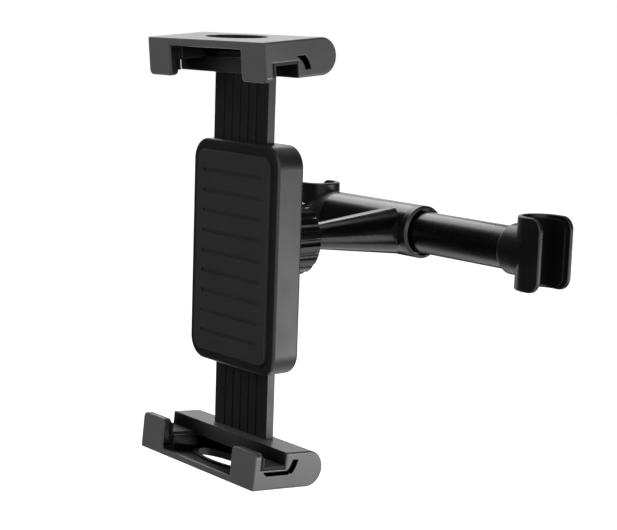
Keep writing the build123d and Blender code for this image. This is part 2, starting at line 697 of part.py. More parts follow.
def jaw(lip, strip, slot_start):
    """Hollow jaw, drawn with its outer face level and its front at w = 0."""
    half = JAW_WIDTH / 2
    body = jaw_blank(lip, strip)
    inner = WINDOW_HALF - WEB
    body -= block(-inner, inner, STRIP_THICKNESS, CHANNEL_END, -BLOCK_DEPTH - PAST, -JAW_WALL)
    throat_end = CHANNEL_END + JAW_WALL + PAST
    body -= block(-inner, inner, CHANNEL_END - PAST, throat_end, -SHELF_DEPTH, -JAW_WALL)
    body -= back_hollow(half - JAW_WALL)
    low = -SHELF_DEPTH + SHELF_WALL
    for i in (-1, 1):
        near, far = sorted((i * WINDOW_HALF, i * (half - JAW_WALL)))
        body -= block(near, far, LIP_THICKNESS, CHANNEL_END + JAW_WALL, low, -JAW_WALL)
    oval = Pos(0, OVAL_W) * Ellipse(OVAL_LENGTH / 2 + OVAL_WALL, OVAL_WIDTH / 2 + OVAL_WALL)
    body += extrude(oval, -OVAL_COLLAR)
    hole = Pos(0, OVAL_W) * Ellipse(OVAL_LENGTH / 2, OVAL_WIDTH / 2)
    body -= extrude(hole, 2 * OVAL_COLLAR, both=True)
    return body - side_slot(slot_start, 2 * JAW_WALL)


def jaw_pads(lip):
    """Soft pads behind a jaw's lips: one leg on the shelf, one on the lip."""
    shelf = -SHELF_DEPTH - JAW_PAD_THICKNESS
    tip = -lip + LIP_ROUND
    back = LIP_THICKNESS + LIP_PAD_THICKNESS
    pads = []
    for i in (-1, 1):
        near, far = sorted((i * (WINDOW_HALF + JAW_PAD_INSET), i * (JAW_WIDTH / 2 - JAW_PAD_INSET)))
        leg = block(near, far, LIP_THICKNESS, CHANNEL_END, shelf, -SHELF_DEPTH)
        pads.append(leg + block(near, far, LIP_THICKNESS, back, tip, -SHELF_DEPTH))
    return Compound(children=pads)


def jaw_screw_places(side):
    """Places of a jaw's screws in X and Z."""
    z = CLAMP_Z + side * (JAW_HALF_SPAN - JAW_SCREW_DEPTH)
    return [(TEE_X + i * JAW_SCREW_SPREAD, z) for i in (-1, 1)]


def jaw_screw_holes(layer, side):
    """Screw holes in a slide."""
    start = layer + SLIDER_THICKNESS - JAW_SCREW_BITE - SLIDE_GAP
    end = layer + SLIDER_THICKNESS + PAST
    return [rod_y(SCREW_RADIUS + FIT_GAP, start, end, x, z) for x, z in jaw_screw_places(side)]


def jaw_screws(layer, side):
    """The two screws that hold a jaw on its slide, from the back."""
    length = JAW_SCREW_SEAT_Y - layer - SLIDER_THICKNESS + JAW_SCREW_BITE
    places = jaw_screw_places(side)
    return Compound(children=[Pos(x, JAW_SCREW_SEAT_Y, z) * screw(length) for x, z in places])


def jaw_on_slide(body, outline, layer, side):
    """A placed jaw, with the slot for its slide and the bosses and holes for its screws."""
    behind = layer + SLIDER_THICKNESS + FIT_GAP
    for x, z in jaw_screw_places(side):
        boss = rod_y(JAW_BOSS_RADIUS, behind, JAW_SCREW_SEAT_Y + JAW_SCREW_SINK, x, z)
        body += boss & outline
    half = SLIDER_WIDTH / 2 + FIT_GAP
    tip = CLAMP_Z + side * (JAW_HALF_SPAN - SLIDER_TOP + FIT_GAP)
    low, high = sorted((CLAMP_Z, tip))
    body -= block(TEE_X - half, TEE_X + half, layer - FIT_GAP, behind, low, high)
    for x, z in jaw_screw_places(side):
        body -= rod_y(SCREW_RADIUS + FIT_GAP, behind - PAST, JAW_SCREW_SEAT_Y, x, z)
        past = JAW_SCREW_SEAT_Y + 2 * JAW_SCREW_SINK
        body -= rod_y(SCREW_HEAD_RADIUS + FIT_GAP, JAW_SCREW_SEAT_Y, past, x, z)
    return body


def upper_jaw():
    """Jaw over the device's upper edge."""
    body = in_upper_jaw(jaw(UPPER_LIP, UPPER_STRIP, CHANNEL_END))
    outline = in_upper_jaw(extrude(Plane.YZ * jaw_section(UPPER_LIP), JAW_WIDTH / 2, both=True))
    return jaw_on_slide(body, outline, FRONT_LAYER_Y, 1)


def lower_jaw():
    """Jaw under the device's lower edge."""
    body = in_lower_jaw(jaw(LOWER_LIP, LOWER_STRIP, LIP_THICKNESS + SLIDE_GAP))
    outline = in_lower_jaw(extrude(Plane.YZ * jaw_section(LOWER_LIP), JAW_WIDTH / 2, both=True))
    return jaw_on_slide(body, outline, REAR_LAYER_Y, -1)


os.makedirs("parts", exist_ok=True)
pieces = {
    "arm_tee": arm_tee(),
    "tube_collar": tube_collar(),
    "inner_tube": inner_tube(),
    "guide_bush": guide_bush(),
    "bar_spring": bar_spring(),
    "left_post_hook": post_hook(OUTER_BORE, OUTER_RADIUS, PARTING_ROUND),
    "left_hook_liner": hook_liner(),
    "right_post_hook": right_post_hook(),
    "right_hook_liner": on_right_post(hook_liner()),
    "ball": ball(),
    "ball_seat": ball_seat(),
    "lock_nut": lock_nut(),
    "front_cover": front_cover(),
    "rear_housing": rear_housing(),
    "front_pad": front_pad(),
    "housing_screws": housing_screws(),
    "upper_slider": upper_slider(),
    "lower_slider": lower_slider(),
    "pinion": pinion(),
    "pinion_pin": pinion_pin(),
    "clamp_springs": clamp_springs(),
    "upper_jaw": upper_jaw(),
    "lower_jaw": lower_jaw(),
    "upper_jaw_pads": in_upper_jaw(jaw_pads(UPPER_LIP)),
    "lower_jaw_pads": in_lower_jaw(jaw_pads(LOWER_LIP)),
    "upper_jaw_screws": jaw_screws(FRONT_LAYER_Y, 1),
    "lower_jaw_screws": jaw_screws(REAR_LAYER_Y, -1),
}
for name, piece in pieces.items():
    export_step(piece, f"parts/{name}.step")
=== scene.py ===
"""Looks of the headrest tablet mount: finishes, fasteners, studio and camera."""

import math

import bpy
from bpy.props import FloatProperty, FloatVectorProperty, PointerProperty
from mathutils import Matrix, Vector


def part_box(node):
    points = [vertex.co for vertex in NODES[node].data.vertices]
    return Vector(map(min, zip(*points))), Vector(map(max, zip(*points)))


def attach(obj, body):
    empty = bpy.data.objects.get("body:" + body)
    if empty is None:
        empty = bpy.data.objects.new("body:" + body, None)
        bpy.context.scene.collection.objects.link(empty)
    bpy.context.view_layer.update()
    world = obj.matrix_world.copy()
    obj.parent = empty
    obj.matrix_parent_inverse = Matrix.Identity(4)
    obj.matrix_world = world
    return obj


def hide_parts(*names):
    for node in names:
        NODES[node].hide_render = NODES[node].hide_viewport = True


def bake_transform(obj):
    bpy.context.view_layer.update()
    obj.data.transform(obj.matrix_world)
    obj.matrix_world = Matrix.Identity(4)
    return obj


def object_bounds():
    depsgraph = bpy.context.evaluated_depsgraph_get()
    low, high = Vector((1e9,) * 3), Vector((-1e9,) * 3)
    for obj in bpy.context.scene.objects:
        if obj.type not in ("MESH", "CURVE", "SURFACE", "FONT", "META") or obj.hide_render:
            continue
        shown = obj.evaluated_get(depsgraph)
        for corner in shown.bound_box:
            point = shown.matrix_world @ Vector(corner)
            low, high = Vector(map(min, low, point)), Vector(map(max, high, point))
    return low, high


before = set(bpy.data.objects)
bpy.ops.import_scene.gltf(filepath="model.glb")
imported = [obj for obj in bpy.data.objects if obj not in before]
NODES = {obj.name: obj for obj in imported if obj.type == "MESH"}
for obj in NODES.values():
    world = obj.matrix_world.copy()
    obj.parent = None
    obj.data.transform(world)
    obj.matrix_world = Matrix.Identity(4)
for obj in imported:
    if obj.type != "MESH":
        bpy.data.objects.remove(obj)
CAD_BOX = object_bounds()

bl_info = {
    "name": "Headrest tablet mount",
    "version": (1, 0, 0),
    "blender": (4, 5, 0),
    "location": "3D View > Sidebar > Tablet Mount",
    "description": "Finishes of a headrest tablet mount and the studio that shows it",
    "category": "Object",
}

WHITE = (1.0, 1.0, 1.0, 1.0)


# Settings that a user would change


def colour(label, words, default):
    """A colour setting."""
    return FloatVectorProperty(
        name=label, description=words, default=default, size=3, min=0.0, max=1.0, subtype="COLOR"
    )


def length(label, words, default):
    """A length setting in metres."""
    return FloatProperty(name=label, description=words, default=default, unit="LENGTH", precision=5)


def share(label, words, default):
    """A setting from nought to one."""
    return FloatProperty(name=label, description=words, default=default, min=0.0, max=1.0, subtype="FACTOR")


def angle(label, words, degrees):
    """An angle setting, given in degrees."""
    return FloatProperty(
        name=label, description=words, default=math.radians(degrees), subtype="ANGLE", unit="ROTATION"
    )


def turn_count(label, words, default):
    """A number of turns."""
    return FloatProperty(name=label, description=words, default=default)


def lamp_power(label, words, watts):
    """A lamp's power setting."""
    return FloatProperty(name=label, description=words, default=watts, unit="POWER")


class MountFinish(bpy.types.PropertyGroup):
    """Colours and gloss of the mount's materials."""

    jaw_colour: colour("Jaws", "Satin grey plastic of the jaws", (0.088, 0.088, 0.09))
    jaw_roughness: share("Jaw roughness", "How dull the jaws are", 0.3)
    # painted shade: reach within which the jaws' colour is darkened in their hollows
    jaw_painted_shade: length("Jaw hollow", "Width of the hollows that look dark in the jaws", 0.04)
    jaw_edge: length("Jaw edge", "Rounding that the jaws' edges show", 0.0005)
    bar_colour: colour("Bar", "Gloss black plastic of the tee", (0.004, 0.004, 0.0044))
    bar_roughness: share("Bar roughness", "How dull the tee is", 0.2)
    collar_roughness: share("Collar roughness", "How dull the collar is", 0.32)
    tube_colour: colour("Tube", "Black coating of the sliding tube", (0.002, 0.002, 0.0022))
    tube_roughness: share("Tube roughness", "How dull the sliding tube is", 0.27)
    hook_colour: colour("Hooks", "Satin black plastic of the hooks", (0.008, 0.008, 0.0084))
    hook_roughness: share("Hook roughness", "How dull the hooks are", 0.32)
    housing_colour: colour("Housing", "Satin black plastic of housing and slides", (0.012, 0.012, 0.0125))
    housing_roughness: share("Housing roughness", "How dull the housing is", 0.4)
    lining_colour: colour("Linings", "Soft black rubber of the linings", (0.002, 0.002, 0.002))
    lining_specular: share("Lining gloss", "How much a lining mirrors", 0.1)
    pad_colour: colour("Pads", "Soft dark rubber of the pads", (0.018, 0.018, 0.018))
    rubber_roughness: share("Rubber roughness", "How dull the rubber is", 0.7)
    nylon_colour: colour("Nylon", "Off-white nylon of the gear and the guide bush", (0.70, 0.68, 0.62))
    nylon_roughness: share("Nylon roughness", "How dull the nylon is", 0.42)
    nylon_depth: share("Nylon depth", "How far light soaks into the nylon", 0.1)
    steel_colour: colour("Steel", "Plated steel of springs, screws and pin", (0.50, 0.50, 0.51))
    steel_roughness: share("Steel roughness", "How dull the steel is", 0.3)


class MountFasteners(bpy.types.PropertyGroup):
    """Sizes of the springs and screws."""

    bar_wire: length("Bar spring wire", "Thickness of the bar spring's wire", 0.0014)
    bar_turns: turn_count("Bar spring turns", "Turns of the bar spring", 16.0)
    clamp_wire: length("Clamp spring wire", "Thickness of the clamp springs' wire", 0.0007)
    clamp_turns: turn_count("Clamp spring turns", "Turns of a clamp spring", 10.0)
    head_radius: length("Head radius", "Radius of a screw's head", 0.0027)
    head_height: length("Head height", "Height of a screw's head", 0.0018)
    head_round: length("Head round", "Rounding of a screw's head", 0.0006)
    shank_radius: length("Shank radius", "Outer radius of a screw's thread", 0.0014)
    thread_pitch: length("Thread pitch", "Distance between a thread's turns", 0.0007)
    thread_depth: length("Thread depth", "Depth of a screw's thread", 0.0003)
    cross_reach: length("Cross reach", "Half length of the cross recess", 0.0016)
    cross_half: length("Cross half width", "Half width of an arm of the cross recess", 0.00042)
    cross_depth: length("Cross depth", "Depth of the cross recess", 0.0009)


class MountStage(bpy.types.PropertyGroup):
    """Camera, floor and lamps."""

    lens: FloatProperty(
        name="Lens", description="Focal length for a sensor 36 mm wide", default=89.8, unit="CAMERA"
    )
    yaw: angle("Yaw", "How far the camera stands to the right of the front", 50.3)
    pitch: angle("Pitch", "How far the camera looks down", 8.97)
    roll: angle("Roll", "How far the picture leans", -1.92)
    eye: FloatVectorProperty(
        name="Eye",
        description="Place of the camera from the middle of the tee",
        default=(0.5569, -0.5220, 0.1001),
        subtype="TRANSLATION",
        unit="LENGTH",
    )
    floor_drop: length("Floor drop", "How far the floor lies below the mount", 0.25)
    floor_colour: colour("Floor", "Pale floor", (0.6, 0.6, 0.6))
    floor_glow: share("Floor glow", "How far the floor is lifted to white", 0.6)
    key_power: lamp_power("Key lamp", "Power of the large lamp on the left", 6.0)
    side_power: lamp_power("Side lamp", "Power of the lamp on the right", 3.0)
    back_power: lamp_power("Back lamp", "Power of the lamp behind the mount", 5.0)
    fill_power: lamp_power("Fill lamp", "Power of the lamp on the front left", 9.0)
    front_power: lamp_power("Front lamp", "Power of the lamp by the camera", 1.6)
    ambient: share("Ambient", "Level of the light from all round", 0.15)


# Shader node helpers


def node(tree, kind, sockets=None, **settings):
    """A shader node with its settings, and its sockets set to values or linked to other sockets."""
    made = tree.nodes.new(kind)
    for name, value in settings.items():
        setattr(made, name, value)
    for name, value in (sockets or {}).items():
        if isinstance(value, bpy.types.NodeSocket):
            tree.links.new(value, made.inputs[name])
        else:
            made.inputs[name].default_value = value
    return made


def math_node(tree, operation, first, second):
    """The result of an operation on two values or sockets."""
    return node(tree, "ShaderNodeMath", {0: first, 1: second}, operation=operation).outputs[0]


def new_group(name, inputs, outputs):
    """An empty shader node group with named sockets, and its input and output nodes."""
    tree = bpy.data.node_groups.new(name, "ShaderNodeTree")
    for label, kind, default in inputs:
        socket = tree.interface.new_socket(label, in_out="INPUT", socket_type=kind)
        socket.default_value = default
    for label, kind in outputs:
        tree.interface.new_socket(label, in_out="OUTPUT", socket_type=kind)
    return tree, node(tree, "NodeGroupInput").outputs, node(tree, "NodeGroupOutput")


def new_material(name):
    """A material with a shader, and its node tree and shader."""
    material = bpy.data.materials.new(name)
    material.use_nodes = True
    tree = material.node_tree
    return material, tree, tree.nodes["Principled BSDF"]


# Noise of the shared effects: patches per metre, levels of detail, and the part of the noise that counts
GRAIN_DETAIL = 3.0
TONE_PATCHES = 45.0
TONE_DETAIL = 5.0
HANDLED_PATCHES = 60.0
HANDLED_DETAIL = 2.0
HANDLED_LOW = 0.3
HANDLED_HIGH = 0.7


def surface_noise(tree, scale, detail):
    """Noise that stays put on the surface."""
    place = node(tree, "ShaderNodeTexCoord").outputs["Object"]
    noise = node(tree, "ShaderNodeTexNoise", {"Vector": place, "Scale": scale, "Detail": detail})
    return noise.outputs["Fac"]


def moulded_grain_group():
    """Fine height of a moulded or sprayed surface."""
    tree, given, out = new_group(
        "Moulded grain", [("Grains per metre", "NodeSocketFloat", 3000.0)], [("Height", "NodeSocketFloat")]
    )
    fine = surface_noise(tree, given["Grains per metre"], GRAIN_DETAIL)
    tree.links.new(fine, out.inputs["Height"])
    return tree


def tone_drift_group():
    """A colour that drifts a little over the surface."""
    tree, given, out = new_group(
        "Tone drift",
        [("Colour", "NodeSocketColor", (0.1, 0.1, 0.1, 1.0)), ("Amount", "NodeSocketFloat", 0.1)],
        [("Colour", "NodeSocketColor")],
    )
    clouds = surface_noise(tree, TONE_PATCHES, TONE_DETAIL)
    centred = math_node(tree, "SUBTRACT", clouds, 0.5)
    swing = math_node(tree, "MULTIPLY", centred, given["Amount"])
    value = math_node(tree, "ADD", swing, 1.0)
    drifted = node(tree, "ShaderNodeHueSaturation", {"Color": given["Colour"], "Value": value})
    tree.links.new(drifted.outputs["Color"], out.inputs["Colour"])
    return tree


def handling_group():
    """Roughness that varies between handled and untouched patches."""
    tree, given, out = new_group(
        "Handling",
        [("Shiny", "NodeSocketFloat", 0.3), ("Dull", "NodeSocketFloat", 0.4)],
        [("Roughness", "NodeSocketFloat")],
    )
    sockets = {
        "Value": surface_noise(tree, HANDLED_PATCHES, HANDLED_DETAIL),
        "From Min": HANDLED_LOW,
        "From Max": HANDLED_HIGH,
        "To Min": given["Shiny"],
        "To Max": given["Dull"],
    }
    spread = node(tree, "ShaderNodeMapRange", sockets, interpolation_type="SMOOTHSTEP")
    tree.links.new(spread.outputs["Result"], out.inputs["Roughness"])
    return tree


GROUPS = {}


def shared_groups():
    """The shader node groups, built once."""
    if not GROUPS:
        GROUPS["grain"] = moulded_grain_group()
        GROUPS["tone"] = tone_drift_group()
        GROUPS["handling"] = handling_group()
    return GROUPS


# Grain of each kind of skin: grains per metre, and their height in metres
JAW_GRAIN = (5200.0, 0.000005)
GLOSS_GRAIN = (900.0, 0.000002)
TUBE_GRAIN = (1200.0, 0.000002)
SATIN_GRAIN = (4200.0, 0.000006)
RUBBER_GRAIN = (3600.0, 0.00002)
NYLON_GRAIN = (2500.0, 0.00001)
STEEL_GRAIN = (2500.0, 0.000006)

# How far roughness swings to each side, the least it may be, and how far a colour drifts
JAW_SWING = 0.02
GLOSS_SWING = 0.03
USUAL_SWING = 0.05
LEAST_ROUGHNESS = 0.02
COLOUR_DRIFT = 0.12

# How steeply the painted shade darkens a hollow, and the rays that find an edge
PAINTED_SHADE_POWER = 5.0
EDGE_SAMPLES = 8


def surface(name, tint, roughness, grain, swing=USUAL_SWING, **shader_values):
    """A material: drifting colour, patchy roughness and a fine moulded grain."""
    groups = shared_groups()
    material, tree, shader = new_material(name)
    tone = node(tree, "ShaderNodeGroup", node_tree=groups["tone"])
    tone.inputs["Colour"].default_value = (*tint, 1.0)
    tone.inputs["Amount"].default_value = COLOUR_DRIFT
    handling = node(tree, "ShaderNodeGroup", node_tree=groups["handling"])
    handling.inputs["Shiny"].default_value = max(LEAST_ROUGHNESS, roughness - swing)
    handling.inputs["Dull"].default_value = min(1.0, roughness + swing)
    per_metre, height = grain
    grains = node(tree, "ShaderNodeGroup", node_tree=groups["grain"])
    grains.inputs["Grains per metre"].default_value = per_metre
    relief = node(tree, "ShaderNodeBump", {"Height": grains.outputs["Height"], "Distance": height})
    tree.links.new(tone.outputs["Colour"], shader.inputs["Base Color"])
    tree.links.new(handling.outputs["Roughness"], shader.inputs["Roughness"])
    tree.links.new(relief.outputs["Normal"], shader.inputs["Normal"])
    for socket, value in shader_values.items():
        shader.inputs[socket.replace("_", " ")].default_value = value
    return material


def paint_hollow_shade(material, depth):
    """Paints shade into a material's colour in its own hollows, darkening them nearly to black."""
    tree = material.node_tree
    shader = tree.nodes["Principled BSDF"]
    tone = shader.inputs["Base Color"].links[0].from_socket
    # painted shade: the occlusion darkens the base colour, not the light that reaches it
    openness = node(tree, "ShaderNodeAmbientOcclusion", {"Distance": depth}, only_local=True)
    value = math_node(tree, "POWER", openness.outputs["AO"], PAINTED_SHADE_POWER)
    shade_painted = node(tree, "ShaderNodeHueSaturation", {"Color": tone, "Value": value})
    tree.links.new(shade_painted.outputs["Color"], shader.inputs["Base Color"])


def round_edges(material, radius):
    """Shades a material's sharp edges as if they were slightly rounded."""
    tree = material.node_tree
    relief = tree.nodes["Bump"]
    rounded = node(tree, "ShaderNodeBevel", {"Radius": radius}, samples=EDGE_SAMPLES)
    tree.links.new(rounded.outputs["Normal"], relief.inputs["Normal"])


def make_finishes(look):
    """Makes the mount's materials from their settings."""
    jaw = surface("Jaw grey", look.jaw_colour, look.jaw_roughness, JAW_GRAIN, JAW_SWING)
    # painted shade: the jaws' colour is darkened in their hollows
    paint_hollow_shade(jaw, look.jaw_painted_shade)
    round_edges(jaw, look.jaw_edge)
    surface("Bar gloss black", look.bar_colour, look.bar_roughness, GLOSS_GRAIN, GLOSS_SWING)
    surface("Collar black", look.bar_colour, look.collar_roughness, GLOSS_GRAIN, GLOSS_SWING)
    surface("Tube black", look.tube_colour, look.tube_roughness, TUBE_GRAIN, GLOSS_SWING)
    surface("Hook satin black", look.hook_colour, look.hook_roughness, SATIN_GRAIN)
    surface("Housing black", look.housing_colour, look.housing_roughness, SATIN_GRAIN)
    surface(
        "Soft lining",
        look.lining_colour,
        look.rubber_roughness,
        RUBBER_GRAIN,
        Specular_IOR_Level=look.lining_specular,
    )
    surface("Soft pad", look.pad_colour, look.rubber_roughness, RUBBER_GRAIN)
    surface(
        "Nylon", look.nylon_colour, look.nylon_roughness, NYLON_GRAIN, Subsurface_Weight=look.nylon_depth
    )
    surface("Plated steel", look.steel_colour, look.steel_roughness, STEEL_GRAIN, Metallic=1.0)


def finish(context, name):
    """One of the mount's materials, all of which are made on first use."""
    if "Jaw grey" not in bpy.data.materials:
        make_finishes(context.scene.mount_finish)
    return bpy.data.materials[name]


# Meshes of springs and screws

# Points in a turn of a spring, sides of its wire, sides of a screw, and steps of its head's rounding
COIL_STEPS = 28
WIRE_SIDES = 10
SCREW_SIDES = 32
ROUND_STEPS = 4

# Floor of a cross recess, as shares of its mouth
CROSS_FLOOR_REACH = 0.6
CROSS_FLOOR_WIDTH = 0.8


def add_piece(name, mesh, material, *nodes):
    """A smooth piece that stands for CAD nodes and takes their material slot."""
    mesh.materials.append(material)
    for face in mesh.polygons:
        face.use_smooth = True
    piece = bpy.data.objects.new(name, mesh)
    bpy.context.scene.collection.objects.link(piece)
    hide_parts(*nodes)
    return piece


def coil_points(radius, wire, turns, reach, start_turn, end_turn):
    """Centre line of a spring along +Z from 0 to reach, with closed end turns, between two of its turns."""
    steps = round((end_turn - start_turn) * COIL_STEPS)
    slope = (reach - 3 * wire) / (turns - 2)
    points = []
    for i in range(steps + 1):
        turn = start_turn + (end_turn - start_turn) * i / steps
        height = wire / 2 + wire * min(turn, 1.0) + slope * min(max(turn - 1.0, 0.0), turns - 2)
        height += wire * max(turn - turns + 1, 0.0)
        around = 2 * math.pi * turn
        points.append(Vector((radius * math.cos(around), radius * math.sin(around), height)))
    return points


def wire_mesh(name, points, wire):
    """Round wire along a centre line, closed at both ends."""
    ring = [2 * math.pi * j / WIRE_SIDES for j in range(WIRE_SIDES)]
    verts = []
    faces = []
    for i, point in enumerate(points):
        along = (points[min(i + 1, len(points) - 1)] - points[max(i - 1, 0)]).normalized()
        out = Vector((point.x, point.y, 0.0)).normalized()
        side = along.cross(out).normalized()
        verts += [point + wire / 2 * (math.cos(a) * out + math.sin(a) * side) for a in ring]
    for i in range(len(points) - 1):
        first = i * WIRE_SIDES
        second = first + WIRE_SIDES
        for j in range(WIRE_SIDES):
            k = (j + 1) % WIRE_SIDES
            faces.append((first + j, first + k, second + k, second + j))
    faces.append(tuple(range(WIRE_SIDES - 1, -1, -1)))
    faces.append(tuple(range(len(verts) - WIRE_SIDES, len(verts))))
    mesh = bpy.data.meshes.new(name)
    mesh.from_pydata([tuple(v) for v in verts], [], faces)
    return mesh


def add_lathe(mesh_data, profile, sides):
    """Adds a surface turned about Z from (radius, z) points to vertex and face lists."""
    verts, faces = mesh_data
    start = len(verts)
    for radius, z in profile:
        for j in range(sides):
            around = 2 * math.pi * j / sides
            verts.append((radius * math.cos(around), radius * math.sin(around), z))
    for i in range(len(profile) - 1):
        a = start + i * sides
        b = a + sides
        for j in range(sides):
            k = (j + 1) % sides
            faces.append((a + j, a + k, b + k, b + j))


def add_thread(mesh_data, crest, depth, pitch, reach, sides):
    """Adds a screw thread along -Z from 0: root and crest rows that climb a turn in each pitch."""
    verts, faces = mesh_data
    start = len(verts)
    rows = round(2 * reach / pitch)
    for i in range(rows + 1):
        for j in range(sides + 1):
            around = 2 * math.pi * j / sides
            z = -min(max((i / 2 + j / sides - 0.5) * pitch, 0.0), reach)
            radius = crest if i % 2 else crest - depth
            verts.append((radius * math.cos(around), radius * math.sin(around), z))
    for i in range(rows):
        for j in range(sides):
            a = start + i * (sides + 1) + j
            b = a + sides + 1
            faces.append((a + 1, a, b, b + 1))
    last = start + rows * (sides + 1)
    faces.append(tuple(range(last + sides - 1, last - 1, -1)))


def cross_outline(reach, half):
    """Corners of a cross, counted round from +X."""
    arm = [(reach, -half), (reach, half), (half, half)]
    corners = []
    for quarter in range(4):
        turn = Matrix.Rotation(quarter * math.pi / 2, 2)
        corners += [turn @ Vector(c) for c in arm]
    return corners


def add_cross_top(mesh_data, settings, rim):
    """Adds the flat top of a screw's head with a tapered cross recess."""
    verts, faces = mesh_data
    top = settings.head_height
    wide = cross_outline(settings.cross_reach, settings.cross_half)
    narrow = cross_outline(
        settings.cross_reach * CROSS_FLOOR_REACH, settings.cross_half * CROSS_FLOOR_WIDTH
    )
    start = len(verts)
    count = len(wide)
    for corner in wide:
        verts.append((rim * corner.x / corner.length, rim * corner.y / corner.length, top))
    verts += [(c.x, c.y, top) for c in wide]
    verts += [(c.x, c.y, top - settings.cross_depth) for c in narrow]
    for a in (start, start + count):
        b = a + count
        for j in range(count):
            k = (j + 1) % count
            faces.append((a + j, a + k, b + k, b + j))
    faces.append(tuple(start + 2 * count + j for j in range(count)))


def screw_mesh(name, settings, places, reach):
    """Cross-recessed pan head screws, each along +Y with the underside of its head at its place."""
    one = ([], [])
    rise = settings.head_round
    rim = settings.head_radius
    top = settings.head_height
    profile = [(settings.shank_radius, 0.0), (rim, 0.0)]
    for i in range(ROUND_STEPS + 1):
        lift = math.pi / 2 * i / ROUND_STEPS
        profile.append((rim - rise * (1 - math.cos(lift)), top - rise * (1 - math.sin(lift))))
    add_lathe(one, profile, SCREW_SIDES)
    add_cross_top(one, settings, rim - rise)
    add_thread(
        one, settings.shank_radius, settings.thread_depth, settings.thread_pitch, reach, SCREW_SIDES
    )
    verts = []
    faces = []
    upright = Matrix.Rotation(-math.pi / 2, 3, "X")
    for place in places:
        start = len(verts)
        verts += [tuple(place + upright @ Vector(v)) for v in one[0]]
        faces += [tuple(start + i for i in f) for f in one[1]]
    mesh = bpy.data.meshes.new(name)
    mesh.from_pydata(verts, [], faces)
    return mesh


def add_screws(context, cad_node, body):
    """Detailed screws in the corners of a CAD screw node's box."""
    settings = context.scene.mount_fasteners
    low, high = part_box(cad_node)
    inset = settings.head_radius
    seat = high.y - settings.head_height
    levels = sorted({round(low.z + inset, 5), round(high.z - inset, 5)})
    places = [Vector((x, seat, z)) for x in (low.x + inset, high.x - inset) for z in levels]
    mesh = screw_mesh(cad_node + "_cross_head", settings, places, seat - low.y)
    material = finish(context, "Plated steel")
    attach(add_piece(mesh.name, mesh, material, cad_node), body)


# Operators, one for each group of like pieces


class MountOperator:
    """What the operators share."""

    bl_options = {"REGISTER", "UNDO"}

    def dress(self, context, names, finish_name):
        """Gives CAD nodes one of the mount's materials."""
        for name in names:
            slots = NODES[name].data.materials
            slots.clear()
            slots.append(finish(context, finish_name))


class MOUNT_OT_bar(MountOperator, bpy.types.Operator):
    """Finishes the telescopic bar: tee, collar, sliding tube, bush and spring"""

    bl_idname = "mount.bar"
    bl_label = "Bar"

    def execute(self, context):
        self.dress(context, ["arm_tee"], "Bar gloss black")
        self.dress(context, ["tube_collar"], "Collar black")
        self.dress(context, ["inner_tube"], "Tube black")
        self.dress(context, ["guide_bush"], "Nylon")
        self.add_spring(context)
        return {"FINISHED"}

    def add_spring(self, context):
        """The bar's spring, coiled along the box of its CAD node."""
        settings = context.scene.mount_fasteners
        low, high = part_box("bar_spring")
        wire = settings.bar_wire
        turns = settings.bar_turns
        radius = (high.z - low.z - wire) / 2
        points = coil_points(radius, wire, turns, high.x - low.x, 0.0, turns)
        mesh = wire_mesh("bar_coil", points, wire)
        along_x = Matrix(((0, 0, 1), (1, 0, 0), (0, 1, 0))).to_4x4()
        mesh.transform(Matrix.Translation((low.x, 0.0, 0.0)) @ along_x)
        piece = add_piece("bar_coil", mesh, finish(context, "Plated steel"), "bar_spring")
        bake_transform(piece)


class MOUNT_OT_hooks(MountOperator, bpy.types.Operator):
    """Finishes the two post hooks and their linings"""

    bl_idname = "mount.hooks"
    bl_label = "Post hooks"

    def execute(self, context):
        self.dress(context, ["left_post_hook", "right_post_hook"], "Hook satin black")
        self.dress(context, ["left_hook_liner", "right_hook_liner"], "Soft lining")
        return {"FINISHED"}


class MOUNT_OT_ball_joint(MountOperator, bpy.types.Operator):
    """Finishes the ball, its seat and the lock nut"""

    bl_idname = "mount.ball_joint"
    bl_label = "Ball joint"

    def execute(self, context):
        self.dress(context, ["ball", "lock_nut"], "Bar gloss black")
        self.dress(context, ["ball_seat"], "Soft pad")
        return {"FINISHED"}


class MOUNT_OT_housing(MountOperator, bpy.types.Operator):
    """Finishes the clamp housing, its pad and its screws"""

    bl_idname = "mount.housing"
    bl_label = "Clamp housing"

    def execute(self, context):
        self.dress(context, ["front_cover", "rear_housing"], "Housing black")
        self.dress(context, ["front_pad"], "Soft pad")
        add_screws(context, "housing_screws", "clamp")
        return {"FINISHED"}


class MOUNT_OT_slides(MountOperator, bpy.types.Operator):
    """Finishes the slides with their racks, the gear, its pin and the springs"""

    bl_idname = "mount.slides"
    bl_label = "Slides and gear"

    def execute(self, context):
        self.dress(context, ["upper_slider", "lower_slider"], "Housing black")
        self.dress(context, ["pinion"], "Nylon")
        self.dress(context, ["pinion_pin"], "Plated steel")
        self.add_springs(context)
        return {"FINISHED"}

    def add_springs(self, context):
        """The clamp's two springs, each made in two halves."""
        settings = context.scene.mount_fasteners
        low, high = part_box("clamp_springs")
        wire = settings.clamp_wire
        turns = settings.clamp_turns
        width = high.y - low.y
        middle = (low + high) / 2
        steel = finish(context, "Plated steel")
        halves = (
            ("lower", 0.0, turns / 2, "upper", low.z),
            ("upper", turns / 2, turns, "lower", high.z),
        )
        for side, x in (("left", low.x + width / 2), ("right", high.x - width / 2)):
            for half, start, end, body, tip in halves:
                points = coil_points((width - wire) / 2, wire, turns, high.z - low.z, start, end)
                mesh = wire_mesh(f"clamp_coil_{side}_{half}", points, wire)
                mesh.transform(Matrix.Translation((x, middle.y, low.z)))
                piece = add_piece(mesh.name, mesh, steel, "clamp_springs")
                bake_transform(piece)


